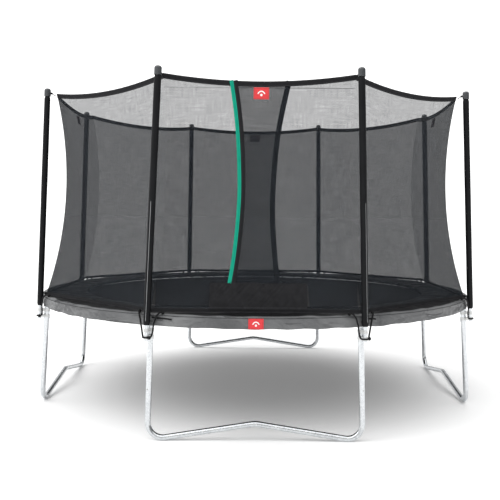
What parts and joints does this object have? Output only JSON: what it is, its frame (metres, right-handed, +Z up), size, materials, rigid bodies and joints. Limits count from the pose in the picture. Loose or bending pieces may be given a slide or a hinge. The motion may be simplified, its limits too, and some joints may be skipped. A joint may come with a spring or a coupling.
{
  "type": "garden trampoline with safety net",
  "caption": "Round garden trampoline on W-shaped tube legs, with a padded spring cover, foam-sleeved poles and a safety net that bows inwards, with an overlapping flap entrance.",
  "frame": {"origin": "on the floor, under the middle of the jumping mat", "axes": "+Z up, the entrance faces -Y, +X to the right of someone facing the entrance"},
  "size_m": [3.8298, 3.8298, 2.6203],
  "materials": {
    "galvanised": "hot-dip galvanised, satin",
    "zinc_parts": "bright zinc",
    "spring_steel": "zinc-plated wire",
    "mat_fabric": "matte woven",
    "pad_black": "coated fabric, matte",
    "pad_vinyl": "coated fabric, satin",
    "pad_foam": "closed-cell foam",
    "net_mesh": "knitted mesh",
    "black_webbing": "woven webbing",
    "green_webbing": "woven webbing",
    "sleeve_foam": "smooth covered foam",
    "cap_plastic": "gloss",
    "elastic": "braided elastic",
    "label_red": "woven label"
  },
  "bodies": {
    "frame": {"frame_section_1": "galvanised", "frame_section_2": "galvanised", "frame_section_3": "galvanised", "frame_section_4": "galvanised", "frame_section_5": "galvanised", "frame_section_6": "galvanised", "frame_section_7": "galvanised", "frame_section_8": "galvanised", "leg_upright_1": "galvanised", "leg_upright_2": "galvanised", "leg_upright_3": "galvanised", "leg_upright_4": "galvanised", "leg_upright_5": "galvanised", "leg_upright_6": "galvanised", "leg_upright_7": "galvanised", "leg_upright_8": "galvanised", "leg_base_front": "galvanised", "leg_base_right": "galvanised", "leg_base_back": "galvanised", "leg_base_left": "galvanised", "net_pole_1": "galvanised", "net_pole_2": "galvanised", "net_pole_3": "galvanised", "net_pole_4": "galvanised", "net_pole_5": "galvanised", "net_pole_6": "galvanised", "net_pole_7": "galvanised", "net_pole_8": "galvanised", "net_panel_1": "net_mesh", "net_panel_2": "net_mesh", "net_panel_3": "net_mesh", "net_panel_4": "net_mesh", "net_panel_5": "net_mesh", "net_panel_6": "net_mesh", "net_panel_7": "net_mesh", "frame_screws": "zinc_parts", "pole_sleeves": "sleeve_foam", "pole_caps": "cap_plastic", "pole_clamps": "zinc_parts", "clamp_fasteners": "zinc_parts", "springs": "spring_steel", "pad_cover": "pad_black", "pad_skirt": "pad_vinyl", "pad_foam": "pad_foam", "pad_ties": "elastic", "net_top_band": "black_webbing", "net_bottom_hem": "black_webbing", "net_top_straps": "black_webbing", "net_bottom_straps": "elastic", "net_labels": "label_red", "entrance_sill": "black_webbing"},
    "mat": {"jumping_mat": "mat_fabric", "mat_edge_band": "black_webbing", "mat_rings": "spring_steel"},
    "outer_flap": {"entrance_outer_flap": "net_mesh", "entrance_green_edge": "green_webbing", "entrance_green_trim": "black_webbing", "entrance_label": "label_red"},
    "inner_flap": {"entrance_inner_flap": "net_mesh", "entrance_inner_edge": "black_webbing"}
  },
  "joints": [
    {"name": "mat_bounce", "type": "slide", "parent": "frame", "child": "mat", "axis": [0, 0, 1], "range_m": [-0.15, 0], "stiffness_N_per_m": 6000, "springref_m": 0.06, "deforming": ["springs"]},
    {"name": "outer_flap_swing", "type": "hinge", "parent": "frame", "child": "outer_flap", "pos_m": [0.0158, -1.672, 2.49], "axis": [-1, -0.0099, 0], "range_deg": [0, 12], "stiffness_Nm_per_rad": 12, "springref_deg": -6.88},
    {"name": "inner_flap_swing", "type": "hinge", "parent": "frame", "child": "inner_flap", "pos_m": [0.0158, -1.66, 2.49], "axis": [1, 0.0099, 0], "range_deg": [0, 12], "stiffness_Nm_per_rad": 12, "springref_deg": -6.88}
  ]
}
